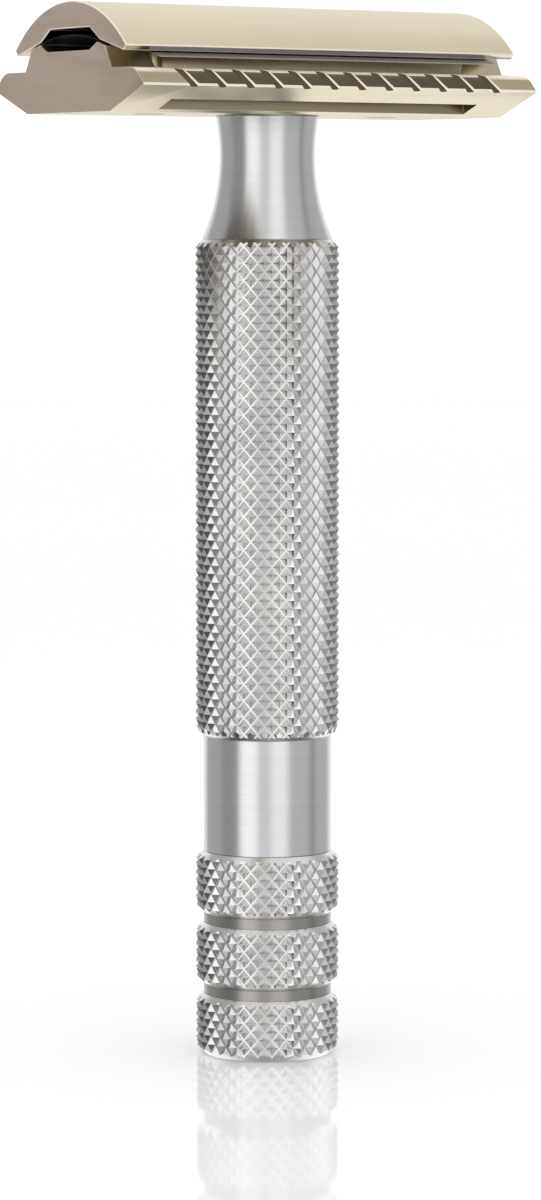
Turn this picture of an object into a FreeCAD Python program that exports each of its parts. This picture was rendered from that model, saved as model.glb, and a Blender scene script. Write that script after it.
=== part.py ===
"""Three-piece safety razor: curved cap, blade and base plate on a knurled handle.

The handle stands along +Z with its base face at z = 0, and the blade lies along X.
The cap carries a threaded stud, which screws into the neck and clamps the blade on the plate.
"""

import FreeCAD, Part
import Sketcher
import math
import os

# Driving dimensions in millimetres. Heights of head parts are measured from the plate's flat bottom.
SIZES = {
    # Handle levels above the base
    "lower_ring_top": 5.7,
    "middle_ring_bottom": 6.7,
    "middle_ring_top": 12.45,
    "upper_ring_bottom": 13.45,
    "upper_ring_top": 19.25,
    "grip_bottom": 30.25,
    "grip_top": 76.7,
    "neck_top": 88.2,
    # Handle radii
    "knurl_radius": 6.75,
    "band_radius": 6.0,
    "foot_radius": 5.9,
    "ring_edge_radius": 6.15,
    "grip_foot_radius": 6.05,
    "neck_base_radius": 6.15,
    "neck_sweep_radius": 18.74,
    "neck_top_radius": 4.82,
    # Edge breaks on the handle
    "foot_bevel": 0.8,
    "ring_bevel": 0.6,
    "grip_foot_rise": 1.5,
    "grip_top_bevel": 0.8,
    # Tie rod, its nut and the spigots that line the stack up
    "rod_radius": 3.0,
    "rod_bottom": 0.9,
    "rod_top": 78.7,
    "rod_hole_radius": 3.05,
    "thread_gap": 0.02,
    "sleeve_bore_radius": 4.65,
    "spigot_radius": 4.6,
    "neck_spigot_bottom": 70.7,
    "collar_spigot_top": 35.25,
    "ring_recess_radius": 4.3,
    "ring_recess_depth": 2.6,
    "nut_radius": 4.25,
    "nut_bottom": 0.4,
    "nut_slot_half": 0.6,
    "nut_slot_depth": 0.7,
    # Cap stud and its bore in the neck
    "stud_radius": 2.5,
    "stud_reach": 6.0,
    "stud_top": 9.1,
    "stud_point": 0.4,
    "stud_bore_radius": 2.55,
    "stud_bore_depth": 7.5,
    "plate_stud_hole_radius": 2.58,
    # Locating pins
    "pin_radius": 1.5,
    "pin_spacing_half": 13.0,
    "pin_bottom": 2.6,
    "pin_top": 8.8,
    "pin_point": 0.3,
    "plate_pin_hole_radius": 1.58,
    # Base plate section
    "plate_length": 43.5,
    "plate_flat_half": 7.15,
    "plate_tip_half": 12.8,
    "plate_tip_height": 2.31,
    "bar_top_half": 11.31,
    "bar_top_height": 3.85,
    "lug_base_half": 7.45,
    "lug_top_half": 6.37,
    "lug_top_height": 5.83,
    "channel_edge_half": 4.96,
    "channel_edge_height": 6.21,
    "channel_floor_half": 3.61,
    "channel_floor_height": 5.54,
    # Blade bed between the lugs, with its lather slots
    "bed_length": 34.6,
    "bed_half": 7.7,
    "bed_side_height": 5.47,
    "bed_root_height": 3.0,
    "bed_corner": 0.9,
    "slot_half_length": 17.0,
    "slot_outer_half": 9.9,
    # Round flutes across the safety bars
    "flute_count": 12,
    "flute_run": 33.55,
    "flute_radius": 0.55,
    "flute_depth": 0.3,
    "flute_length": 5.0,
    "flute_lean": 20.0,  # degrees
    # Cap section
    "cap_length": 43.15,
    "cap_edge_half": 9.14,
    "cap_edge_height": 5.35,
    "cap_bevel_half": 9.58,
    "cap_bevel_height": 5.83,
    "cap_crown_radius": 12.95,
    "cap_channel_edge_half": 5.09,
    "cap_channel_edge_height": 6.44,
    "cap_channel_roof_half": 3.38,
    "cap_channel_roof_height": 7.6,
    # Double-edge blade, bent over the bed
    "blade_length": 43.0,
    "blade_edge_half": 18.65,
    "blade_tab_half": 6.3,
    "blade_bend_half": 5.0,
    "blade_bend_height": 6.332,
    "blade_bend_radius": 19.19,
    "blade_half_thickness": 0.05,
    "blade_skin_across": 0.013,
    "blade_skin_up": 0.0483,
    "blade_hone_half": 10.255,
    "blade_hone_height": 4.913,
    "blade_tip_half": 10.738,
    "blade_tip_height": 4.782,
    "blade_cut_reach": 25.0,
    "blade_hole_radius": 2.8,
    "blade_pin_hole_radius": 1.75,
    "blade_slot_half_length": 17.2,
    "blade_slot_half_width": 0.9,
}

doc = FreeCAD.newDocument("safety_razor")
sheet = doc.addObject("Spreadsheet::Sheet", "Sizes")
for row, (alias, value) in enumerate(SIZES.items(), start=1):
    sheet.set("A%d" % row, alias)
    sheet.set("B%d" % row, str(value))
    sheet.setAlias("B%d" % row, alias)
doc.recompute()


def amount(text):
    """The value of a sum of named sizes, such as "neck_top - stud_bore_depth"."""
    total = 0.0
    sign = 1.0
    for word in text.split():
        if word in ("+", "-"):
            sign = 1.0 if word == "+" else -1.0
        elif word != "0":
            total += sign * SIZES[word]
    return total


def formula(text):
    """The same sum as an expression on the sheet's cells."""
    words = [word if word in ("+", "-", "0") else "Sizes." + word for word in text.split()]
    return " ".join(words)


def opposite(text):
    """The sum with every sign turned, for the far side of a symmetric outline."""
    if text == "0":
        return text
    signs = {"+": "-", "-": "+"}
    words = [signs.get(word, word) for word in text.split()]
    if words[0] in signs.values():
        return " ".join(words[1:] if words[0] == "+" else words)
    return "- " + " ".join(words)


def new_body(label):
    body = doc.addObject("PartDesign::Body", label)
    body.Label = label
    return body


def role_of(body, role):
    """The body's own origin plane or axis with the given role."""
    return [item for item in body.Origin.OriginFeatures if item.Role == role][0]


def new_sketch(body, role, name):
    sketch = body.newObject("Sketcher::SketchObject", name)
    sketch.AttachmentSupport = [(role_of(body, role), "")]
    sketch.MapMode = "FlatFace"
    return sketch


def bind(sketch, kind, element, text):
    """Add one dimension to a sketch and tie it to the sheet."""
    index = sketch.addConstraint(Sketcher.Constraint(kind, *element, amount(text)))
    sketch.setExpression("Constraints[%d]" % index, formula(text))


def pin_down(sketch, geometry, end, across, up):
    """Hold one point at its place from the sketch's origin."""
    if across == "0":
        sketch.addConstraint(Sketcher.Constraint("PointOnObject", geometry, end, -2))
    else:
        bind(sketch, "DistanceX", (-1, 1, geometry, end), across)
    if up == "0":
        sketch.addConstraint(Sketcher.Constraint("PointOnObject", geometry, end, -1))
    else:
        bind(sketch, "DistanceY", (-1, 1, geometry, end), up)


def arc_between(start, end, radius, turn):
    """An arc from start to end. turn is 1 where it runs counter-clockwise, -1 where clockwise."""
    chord = end - start
    rise = math.sqrt(radius ** 2 - (chord.Length / 2) ** 2)
    normal = FreeCAD.Vector(-chord.y, chord.x, 0).normalize()
    centre = (start + end) / 2 + normal * rise * turn
    first = start if turn > 0 else end
    last = end if turn > 0 else start
    circle = Part.Circle(centre, FreeCAD.Vector(0, 0, 1), radius)
    angles = [math.atan2(point.y - centre.y, point.x - centre.x) for point in (first, last)]
    return Part.ArcOfCircle(circle, *angles)


def outline(sketch, points, arcs={}):
    """A closed outline. arcs maps a point's index to the radius and turn of the edge that starts there."""
    places = [FreeCAD.Vector(amount(across), amount(up), 0) for across, up in points]
    edges = []
    for index, start in enumerate(places):
        end = places[(index + 1) % len(places)]
        if index in arcs:
            radius, turn = arcs[index]
            geometry = sketch.addGeometry(arc_between(start, end, amount(radius), turn))
            edges.append((geometry, 1, 2) if turn > 0 else (geometry, 2, 1))
            bind(sketch, "Radius", (geometry,), radius)
        else:
            geometry = sketch.addGeometry(Part.LineSegment(start, end))
            edges.append((geometry, 1, 2))
    for index, (geometry, first, last) in enumerate(edges):
        following, following_first, following_last = edges[(index + 1) % len(edges)]
        sketch.addConstraint(Sketcher.Constraint("Coincident", geometry, last, following, following_first))
        pin_down(sketch, geometry, first, *points[index])


def circle(sketch, across, up, radius):
    centre = FreeCAD.Vector(amount(across), amount(up), 0)
    geometry = sketch.addGeometry(Part.Circle(centre, FreeCAD.Vector(0, 0, 1), amount(radius)))
    bind(sketch, "Radius", (geometry,), radius)
    pin_down(sketch, geometry, 3, across, up)


def rectangle(sketch, left, bottom, right, top):
    outline(sketch, [(left, bottom), (right, bottom), (right, top), (left, top)])


def both_sides(half):
    """A half outline, listed from the bottom up, completed with its mirror image."""
    mirrored = [(opposite(across), up) for across, up in reversed(half)]
    return half + mirrored


def two_ways(near, far):
    """A stretch from near to far and its mirror image, each from low to high."""
    return ((near, far), (opposite(far), opposite(near)))


def pad(body, sketch, length):
    """A pad centred on its sketch's plane."""
    feature = body.newObject("PartDesign::Pad", sketch.Name + "_pad")
    feature.Profile = sketch
    feature.Midplane = True
    feature.setExpression("Length", formula(length))
    doc.recompute()
    return feature


def cut_through(body, sketch):
    """A pocket through the whole body, which must take material away."""
    before = body.Shape.Volume
    feature = body.newObject("PartDesign::Pocket", sketch.Name + "_cut")
    feature.Profile = sketch
    feature.Type = "ThroughAll"
    feature.Midplane = True
    doc.recompute()
    if body.Shape.Volume >= before:
        raise RuntimeError(sketch.Name + " cuts nothing")
    return feature


def groove_out(body, points):
    """Turn a blind hole out of a body, from a half section that may touch the Z axis."""
    before = body.Shape.Volume
    sketch = new_sketch(body, "XZ_Plane", body.Label + "_bore")
    outline(sketch, points)
    feature = body.newObject("PartDesign::Groove", body.Label + "_groove")
    feature.Profile = sketch
    feature.ReferenceAxis = (sketch, ["V_Axis"])
    feature.Angle = 360
    doc.recompute()
    if body.Shape.Volume >= before:
        raise RuntimeError(body.Label + " has an empty bore")


def turned(label, points, arcs={}):
    """A turned piece from its half section: radius across, height up."""
    body = new_body(label)
    sketch = new_sketch(body, "XZ_Plane", label + "_section")
    outline(sketch, points, arcs)
    feature = body.newObject("PartDesign::Revolution", label + "_turning")
    feature.Profile = sketch
    feature.ReferenceAxis = (sketch, ["V_Axis"])
    feature.Angle = 360
    doc.recompute()
    return body


def raise_to_head(body):
    """Set a head part, drawn from the plate's bottom, on top of the neck."""
    body.setExpression("Placement.Base.z", "Sizes.neck_top")


def make_rings():
    """Three knurled rings, with a bevel at each edge."""
    for name, bottom, top in (
        ("middle_ring", "middle_ring_bottom", "middle_ring_top"),
        ("upper_ring", "upper_ring_bottom", "upper_ring_top"),
    ):
        turned(name, [
            ("rod_hole_radius", bottom),
            ("ring_edge_radius", bottom),
            ("knurl_radius", bottom + " + ring_bevel"),
            ("knurl_radius", top + " - ring_bevel"),
            ("ring_edge_radius", top),
            ("rod_hole_radius", top),
        ])
    turned("lower_ring", [
        ("ring_recess_radius", "0"),
        ("foot_radius", "0"),
        ("knurl_radius", "foot_bevel"),
        ("knurl_radius", "lower_ring_top - ring_bevel"),
        ("ring_edge_radius", "lower_ring_top"),
        ("rod_hole_radius", "lower_ring_top"),
        ("rod_hole_radius", "ring_recess_depth"),
        ("ring_recess_radius", "ring_recess_depth"),
    ])


def make_spacers():
    """Two plain spacers that show as the grooves between the rings."""
    for name, bottom, top in (
        ("lower_spacer", "lower_ring_top", "middle_ring_bottom"),
        ("upper_spacer", "middle_ring_top", "upper_ring_bottom"),
    ):
        turned(name, [
            ("rod_hole_radius", bottom),
            ("band_radius", bottom),
            ("band_radius", top),
            ("rod_hole_radius", top),
        ])


def make_collar():
    """The smooth collar under the grip, with a spigot that centres the sleeve."""
    turned("smooth_collar", [
        ("rod_hole_radius", "upper_ring_top"),
        ("band_radius", "upper_ring_top"),
        ("band_radius", "grip_bottom"),
        ("spigot_radius", "grip_bottom"),
        ("spigot_radius", "collar_spigot_top"),
        ("rod_hole_radius", "collar_spigot_top"),
    ])


def make_grip():
    """The long knurled sleeve. Its crests lie on this plain surface."""
    turned("grip_sleeve", [
        ("sleeve_bore_radius", "grip_bottom"),
        ("grip_foot_radius", "grip_bottom"),
        ("knurl_radius", "grip_bottom + grip_foot_rise"),
        ("knurl_radius", "grip_top - grip_top_bevel"),
        ("neck_base_radius", "grip_top"),
        ("sleeve_bore_radius", "grip_top"),
    ])


def make_neck():
    """The waisted neck: tapped for the cap stud above and for the tie rod below."""
    body = turned("neck", [
        ("rod_radius + thread_gap", "neck_spigot_bottom"),
        ("spigot_radius", "neck_spigot_bottom"),
        ("spigot_radius", "grip_top"),
        ("neck_base_radius", "grip_top"),
        ("neck_top_radius", "neck_top"),
        ("0", "neck_top"),
        ("0", "rod_top"),
        ("rod_radius + thread_gap", "rod_top"),
    ], {3: ("neck_sweep_radius", -1)})
    groove_out(body, [
        ("0", "neck_top - stud_bore_depth"),
        ("stud_bore_radius", "neck_top - stud_bore_depth"),
        ("stud_bore_radius", "neck_top"),
        ("0", "neck_top"),
    ])


def make_rod():
    """The tie rod that pulls the handle's pieces together."""
    turned("tie_rod", [
        ("0", "rod_bottom"),
        ("rod_radius", "rod_bottom"),
        ("rod_radius", "rod_top"),
        ("0", "rod_top"),
    ])


def make_nut():
    """The round slotted nut, sunk in the lowest ring."""
    body = turned("base_nut", [
        ("rod_radius + thread_gap", "nut_bottom"),
        ("nut_radius", "nut_bottom"),
        ("nut_radius", "ring_recess_depth"),
        ("rod_radius + thread_gap", "ring_recess_depth"),
    ])
    sketch = new_sketch(body, "XZ_Plane", "nut_slot")
    slot_top = "nut_bottom + nut_slot_depth"
    rectangle(sketch, "- nut_slot_half", "0", "nut_slot_half", slot_top)
    cut_through(body, sketch)


def make_plate():
    """The base plate: safety bars, end lugs, blade bed, lather slots, flutes and holes."""
    body = new_body("base_plate")
    bed = new_sketch(body, "YZ_Plane", "bed_section")
    outline(bed, both_sides([
        ("bed_half", "bed_root_height"),
        ("bed_half", "bed_side_height"),
        ("channel_edge_half", "channel_edge_height"),
        ("channel_floor_half", "channel_floor_height"),
    ]))
    bed_pad = pad(body, bed, "bed_length")
    round_bed_corners(body, bed_pad)
    section = new_sketch(body, "YZ_Plane", "plate_section")
    outline(section, both_sides([
        ("plate_flat_half", "0"),
        ("plate_tip_half", "plate_tip_height"),
        ("bar_top_half", "bar_top_height"),
        ("lug_base_half", "bar_top_height"),
        ("lug_top_half", "lug_top_height"),
        ("channel_edge_half", "channel_edge_height"),
        ("channel_floor_half", "channel_floor_height"),
    ]))
    pad(body, section, "plate_length")
    slots = new_sketch(body, "XY_Plane", "lather_slots")
    for near, far in two_ways("bed_half", "slot_outer_half"):
        rectangle(slots, "- slot_half_length", near, "slot_half_length", far)
    cut_through(body, slots)
    holes = new_sketch(body, "XY_Plane", "plate_holes")
    circle(holes, "0", "0", "plate_stud_hole_radius")
    circle(holes, "pin_spacing_half", "0", "plate_pin_hole_radius")
    circle(holes, "- pin_spacing_half", "0", "plate_pin_hole_radius")
    cut_through(body, holes)
    flute_bars(body)
    raise_to_head(body)


def round_bed_corners(body, bed_pad):
    """Round the four upright corners of the blade bed."""
    end = amount("bed_length") / 2
    side = amount("bed_half")
    names = []
    for index, edge in enumerate(bed_pad.Shape.Edges, start=1):
        centre = edge.CenterOfMass
        upright = edge.BoundBox.ZLength > 1 and edge.BoundBox.YLength < 0.01
        if upright and abs(abs(centre.x) - end) < 0.01 and abs(abs(centre.y) - side) < 0.01:
            names.append("Edge%d" % index)
    fillet = body.newObject("PartDesign::Fillet", "bed_corners")
    fillet.Base = (bed_pad, names)
    fillet.setExpression("Radius", "Sizes.bed_corner")
    doc.recompute()


def flute_bars(body):
    """Leaning round flutes down both sloping bar faces, a row of equal steps along X."""
    before = body.Shape.Volume
    tip = FreeCAD.Vector(0, amount("plate_tip_half"), amount("plate_tip_height"))
    top = FreeCAD.Vector(0, amount("bar_top_half"), amount("bar_top_height"))
    slope = (top - tip).normalize()
    outward = FreeCAD.Vector(0, slope.z, -slope.y)
    standoff = amount("flute_radius - flute_depth")
    middle = (tip + top) / 2 + outward * standoff
    lean = math.radians(amount("flute_lean"))
    for name, side in (("right", 1), ("left", -1)):
        axis = FreeCAD.Vector(0, side * slope.y, slope.z) * math.cos(lean)
        axis.x = -math.sin(lean)
        start = FreeCAD.Vector(-amount("flute_run") / 2, side * middle.y, middle.z)
        start = start - axis * amount("flute_length") / 2
        flute = body.newObject("PartDesign::SubtractiveCylinder", name + "_flute")
        flute.AttachmentSupport = [(role_of(body, "XY_Plane"), "")]
        flute.MapMode = "FlatFace"
        flute.AttachmentOffset = FreeCAD.Placement(start, FreeCAD.Rotation(FreeCAD.Vector(0, 0, 1), axis))
        flute.setExpression("Radius", "Sizes.flute_radius")
        flute.setExpression("Height", "Sizes.flute_length")
        doc.recompute()
        row = body.newObject("PartDesign::LinearPattern", name + "_flute_row")
        row.Originals = [flute]
        row.Direction = (role_of(body, "X_Axis"), [""])
        row.setExpression("Length", "Sizes.flute_run")
        row.setExpression("Occurrences", "Sizes.flute_count")
        body.Tip = row
        doc.recompute()
    if body.Shape.Volume >= before:
        raise RuntimeError("the flutes cut nothing")


def make_cap():
    """The curved cap, with its end-to-end channel and the blind holes for stud and pins."""
    body = new_body("top_cap")
    section = new_sketch(body, "YZ_Plane", "cap_section")
    outline(section, [
        ("cap_edge_half", "cap_edge_height"),
        ("cap_bevel_half", "cap_bevel_height"),
        ("- cap_bevel_half", "cap_bevel_height"),
        ("- cap_edge_half", "cap_edge_height"),
        ("- cap_channel_edge_half", "cap_channel_edge_height"),
        ("- cap_channel_roof_half", "cap_channel_roof_height"),
        ("cap_channel_roof_half", "cap_channel_roof_height"),
        ("cap_channel_edge_half", "cap_channel_edge_height"),
    ], {1: ("cap_crown_radius", 1)})
    pad(body, section, "cap_length")
    holes = new_sketch(body, "XY_Plane", "cap_stud_hole")
    circle(holes, "0", "0", "stud_radius + thread_gap")
    blind_hole(body, holes, "stud_top")
    holes = new_sketch(body, "XY_Plane", "cap_pin_holes")
    circle(holes, "pin_spacing_half", "0", "pin_radius + thread_gap")
    circle(holes, "- pin_spacing_half", "0", "pin_radius + thread_gap")
    blind_hole(body, holes, "pin_top")
    raise_to_head(body)


def blind_hole(body, sketch, top):
    """Sink round holes up into the cap from below, as far as the given height."""
    before = body.Shape.Volume
    feature = body.newObject("PartDesign::Pocket", sketch.Name + "_cut")
    feature.Profile = sketch
    feature.Reversed = True
    feature.setExpression("Length", formula(top))
    doc.recompute()
    if body.Shape.Volume >= before:
        raise RuntimeError(sketch.Name + " cuts nothing")


def make_stud():
    """The cap's threaded stud, with a pointed lower end."""
    body = turned("cap_stud", [
        ("0", "- stud_reach"),
        ("stud_radius - stud_point", "- stud_reach"),
        ("stud_radius", "- stud_reach + stud_point"),
        ("stud_radius", "stud_top"),
        ("0", "stud_top"),
    ])
    raise_to_head(body)


def make_pins():
    """Two locating pins, one each side of the stud, kept as one group of separate solids."""
    body = new_body("locating_pins")
    body.AllowCompound = True
    ends = new_sketch(body, "XY_Plane", "pin_ends")
    ends.setExpression("AttachmentOffset.Base.z", "Sizes.pin_bottom")
    circle(ends, "pin_spacing_half", "0", "pin_radius")
    circle(ends, "- pin_spacing_half", "0", "pin_radius")
    shanks = body.newObject("PartDesign::Pad", "pin_shanks")
    shanks.Profile = ends
    shanks.setExpression("Length", formula("pin_top - pin_bottom"))
    doc.recompute()
    rims = []
    for index, edge in enumerate(shanks.Shape.Edges, start=1):
        if edge.BoundBox.ZMax < amount("pin_bottom") + 0.01:
            rims.append("Edge%d" % index)
    points = body.newObject("PartDesign::Chamfer", "pin_points")
    points.Base = (shanks, rims)
    points.setExpression("Size", "Sizes.pin_point")
    doc.recompute()
    raise_to_head(body)


def make_blade():
    """The thin double-edge blade, arched over the channel and straight down to each edge."""
    body = new_body("razor_blade")
    section = new_sketch(body, "YZ_Plane", "blade_section")
    outline(section, [
        ("blade_bend_half - blade_skin_across", "blade_bend_height - blade_skin_up"),
        ("blade_hone_half - blade_skin_across", "blade_hone_height - blade_skin_up"),
        ("blade_tip_half", "blade_tip_height"),
        ("blade_hone_half + blade_skin_across", "blade_hone_height + blade_skin_up"),
        ("blade_bend_half + blade_skin_across", "blade_bend_height + blade_skin_up"),
        ("- blade_bend_half - blade_skin_across", "blade_bend_height + blade_skin_up"),
        ("- blade_hone_half - blade_skin_across", "blade_hone_height + blade_skin_up"),
        ("- blade_tip_half", "blade_tip_height"),
        ("- blade_hone_half + blade_skin_across", "blade_hone_height - blade_skin_up"),
        ("- blade_bend_half + blade_skin_across", "blade_bend_height - blade_skin_up"),
    ], {
        4: ("blade_bend_radius + blade_half_thickness", 1),
        9: ("blade_bend_radius - blade_half_thickness", -1),
    })
    pad(body, section, "blade_length")
    corners = new_sketch(body, "XY_Plane", "blade_corners")
    for near_x, far_x in two_ways("blade_edge_half", "blade_cut_reach"):
        for near_y, far_y in two_ways("blade_tab_half", "blade_cut_reach"):
            rectangle(corners, near_x, near_y, far_x, far_y)
    cut_through(body, corners)
    slit = new_sketch(body, "XY_Plane", "blade_slot")
    slit_end = "blade_slot_half_length"
    slit_side = "blade_slot_half_width"
    rectangle(slit, opposite(slit_end), opposite(slit_side), slit_end, slit_side)
    cut_through(body, slit)
    eyes = new_sketch(body, "XY_Plane", "blade_holes")
    circle(eyes, "0", "0", "blade_hole_radius")
    circle(eyes, "pin_spacing_half", "0", "blade_pin_hole_radius")
    circle(eyes, "- pin_spacing_half", "0", "blade_pin_hole_radius")
    cut_through(body, eyes)
    raise_to_head(body)


def check_document():
    """Stop where any object failed to build."""
    for item in doc.Objects:
        if "Invalid" in item.State or "Error" in item.State:
            raise RuntimeError("%s failed: %s" % (item.Label, item.State))


def write_parts():
    """Write each sub-part to parts/NODE.step."""
    os.makedirs("parts", exist_ok=True)
    bodies = [item for item in doc.Objects if item.TypeId == "PartDesign::Body"]
    for body in bodies:
        if body.Shape.isNull() or not body.Shape.isValid():
            raise RuntimeError(body.Label + " has no valid shape")
    for body in bodies:
        box = body.Shape.BoundBox
        body.Shape.exportStep("parts/%s.step" % body.Label)
        print("%-14s solids %d  z %.2f to %.2f" % (body.Label, len(body.Shape.Solids), box.ZMin, box.ZMax))


make_rings()
make_spacers()
make_collar()
make_grip()
make_neck()
make_rod()
make_nut()
make_plate()
make_cap()
make_stud()
make_pins()
make_blade()
doc.recompute()
check_document()
write_parts()
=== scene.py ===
"""Looks of the three-piece safety razor: knurled handle, fluted base plate, blade and curved cap."""

import math

import bmesh
import bpy
from mathutils import Matrix, Vector


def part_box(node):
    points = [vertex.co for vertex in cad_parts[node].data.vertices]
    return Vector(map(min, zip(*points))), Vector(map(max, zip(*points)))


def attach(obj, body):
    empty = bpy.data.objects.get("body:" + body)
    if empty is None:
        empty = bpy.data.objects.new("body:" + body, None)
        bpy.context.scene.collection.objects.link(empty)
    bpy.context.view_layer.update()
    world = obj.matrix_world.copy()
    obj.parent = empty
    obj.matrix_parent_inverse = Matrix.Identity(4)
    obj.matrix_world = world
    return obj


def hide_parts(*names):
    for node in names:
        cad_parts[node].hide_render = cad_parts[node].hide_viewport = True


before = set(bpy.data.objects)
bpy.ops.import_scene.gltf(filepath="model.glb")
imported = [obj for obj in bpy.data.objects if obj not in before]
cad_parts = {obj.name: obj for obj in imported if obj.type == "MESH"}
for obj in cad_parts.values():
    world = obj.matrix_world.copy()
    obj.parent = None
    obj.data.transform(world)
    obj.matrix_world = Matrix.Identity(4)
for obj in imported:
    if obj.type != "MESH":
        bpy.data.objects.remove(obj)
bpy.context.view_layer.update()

bl_info = {
    "name": "Safety Razor",
    "version": (1, 0, 0),
    "blender": (4, 5, 0),
    "location": "View3D > Sidebar > Razor",
    "description": "Builds the visible pieces of a three-piece safety razor around its fixed frame",
    "category": "Object",
}

MM = 0.001
HEAD_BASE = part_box("base_plate")[0].z
TURNING_SEGMENTS = 192
ARC_STEPS = 40


# ---------------------------------------------------------------- sizes and colours a user would change


class RazorKnurlSizes(bpy.types.PropertyGroup):
    around: bpy.props.IntProperty(
        name="Pyramids around", description="Pyramids in one row of the knurl",
        default=30, min=12, max=60,
    )
    pitch: bpy.props.FloatProperty(
        name="Pitch", description="Height of one pyramid along the handle",
        default=1.56 * MM, unit="LENGTH",
    )
    depth: bpy.props.FloatProperty(
        name="Depth", description="Depth of the knurl's valleys below its crests",
        default=0.40 * MM, unit="LENGTH",
    )
    valley: bpy.props.FloatProperty(
        name="Valley", description="Share of a pyramid's base taken by the flat valley",
        default=0.14, subtype="FACTOR",
    )
    crest: bpy.props.FloatProperty(
        name="Crest", description="Share of a pyramid left flat at its crest",
        default=0.07, subtype="FACTOR",
    )


class RazorHandleSizes(bpy.types.PropertyGroup):
    edge: bpy.props.FloatProperty(
        name="Edge break", description="Width of the turned pieces' small edge breaks",
        default=0.1 * MM, unit="LENGTH",
    )
    ring_bevel: bpy.props.FloatProperty(
        name="Ring bevel", description="Bevel on the rings' edges", default=0.72 * MM, unit="LENGTH"
    )
    foot_bevel: bpy.props.FloatProperty(
        name="Foot bevel", description="Bevel round the handle's base",
        default=0.8 * MM, unit="LENGTH",
    )
    thread_depth: bpy.props.FloatProperty(
        name="Thread depth", description="Depth of the cut threads",
        default=0.42 * MM, unit="LENGTH",
    )


class RazorHeadSizes(bpy.types.PropertyGroup):
    edge: bpy.props.FloatProperty(
        name="Edge break", description="Rounding on the head's edges",
        default=0.10 * MM, unit="LENGTH",
    )
    bar_roll: bpy.props.FloatProperty(
        name="Bar roll", description="Radius of the roll on top of each safety bar",
        default=2.1 * MM, unit="LENGTH",
    )
    flutes: bpy.props.IntProperty(
        name="Flutes", description="Flutes across each safety bar", default=12, min=4, max=24
    )
    flute_radius: bpy.props.FloatProperty(
        name="Flute radius", description="Radius of each round flute",
        default=0.55 * MM, unit="LENGTH",
    )
    flute_depth: bpy.props.FloatProperty(
        name="Flute depth", description="Depth of each flute below the bar's face",
        default=0.3 * MM, unit="LENGTH",
    )
    flute_lean: bpy.props.FloatProperty(
        name="Flute lean", description="Lean of the flutes along the bar",
        default=math.radians(20), subtype="ANGLE",
    )


class RazorFinishes(bpy.types.PropertyGroup):
    head_tint: bpy.props.FloatVectorProperty(
        name="Head tint", description="Warm nickel of cap and plate",
        default=(0.74, 0.665, 0.50), subtype="COLOR", size=3,
    )
    handle_tint: bpy.props.FloatVectorProperty(
        name="Handle tint", description="Stainless steel of the handle",
        default=(0.72, 0.72, 0.73), subtype="COLOR", size=3,
    )
    knurl_tint: bpy.props.FloatVectorProperty(
        name="Knurl tint", description="Blasted steel of the knurls",
        default=(0.76, 0.75, 0.74), subtype="COLOR", size=3,
    )
    polish_tint: bpy.props.FloatVectorProperty(
        name="Polish tint", description="Polished nickel of the bevels",
        default=(0.72, 0.68, 0.65), subtype="COLOR", size=3,
    )
    # Painted shade: the panel tint is the head's nickel made near black for the bars' sloping faces.
    panel_shade_tint: bpy.props.FloatVectorProperty(
        name="Panel tint", description="Milled nickel of the bars' faces",
        default=(0.105, 0.082, 0.050), subtype="COLOR", size=3,
    )
    # The edge tint is partly wear and partly painted highlight: bright nickel on the broken edges, the bar
    # tips and rolls, and one side of every flute.
    edge_wear_and_highlight_tint: bpy.props.FloatVectorProperty(
        name="Edge tint", description="Nickel worn bright along the head's edges",
        default=(0.92, 0.84, 0.72), subtype="COLOR", size=3,
    )
    # Painted shade: the wall tint is the head's nickel darkened for the walls under the blade, in the
    # lather slots and at the bars' plain ends.
    wall_shade_tint: bpy.props.FloatVectorProperty(
        name="Wall tint", description="Milled nickel of the plate's upright walls",
        default=(0.42, 0.355, 0.24), subtype="COLOR", size=3,
    )
    # Painted shade: the groove tint is the handle's steel darkened for the spacers between the rings.
    groove_shade_tint: bpy.props.FloatVectorProperty(
        name="Groove tint", description="Darker steel between the rings",
        default=(0.40, 0.385, 0.36), subtype="COLOR", size=3,
    )
    end_tint: bpy.props.FloatVectorProperty(
        name="End tint", description="Ground nickel of the head's end faces",
        default=(0.80, 0.66, 0.54), subtype="COLOR", size=3,
    )
    blade_tint: bpy.props.FloatVectorProperty(
        name="Blade tint", description="Strip steel of the blade",
        default=(0.52, 0.50, 0.49), subtype="COLOR", size=3,
    )


class RazorStage(bpy.types.PropertyGroup):
    azimuth: bpy.props.FloatProperty(
        name="Camera azimuth", description="Turn of the camera round the handle",
        default=math.radians(-34.0), subtype="ANGLE",
    )
    distance: bpy.props.FloatProperty(
        name="Camera distance", description="Level distance from the handle's axis",
        default=422 * MM, unit="LENGTH",
    )
    height: bpy.props.FloatProperty(
        name="Camera height", description="Height of the camera above the floor",
        default=78 * MM, unit="LENGTH",
    )
    lens: bpy.props.FloatProperty(
        name="Lens", description="Focal length on a 36 mm sensor", default=135.0, min=20, max=300
    )


SETTINGS = (
    (RazorKnurlSizes, "razor_knurl"),
    (RazorHandleSizes, "razor_handle"),
    (RazorHeadSizes, "razor_head"),
    (RazorFinishes, "razor_finishes"),
    (RazorStage, "razor_stage"),
)


# ---------------------------------------------------------------- mesh tools


def new_piece(name, mesh):
    piece = bpy.data.objects.new(name, mesh)
    bpy.context.scene.collection.objects.link(piece)
    return piece


def piece_from(name, bm):
    """A piece from a bmesh, with its doubles merged and its faces turned outwards."""
    bmesh.ops.remove_doubles(bm, verts=bm.verts, dist=1e-7)
    bmesh.ops.recalc_face_normals(bm, faces=bm.faces)
    mesh = bpy.data.meshes.new(name)
    bm.to_mesh(mesh)
    bm.free()
    return new_piece(name, mesh)


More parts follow.
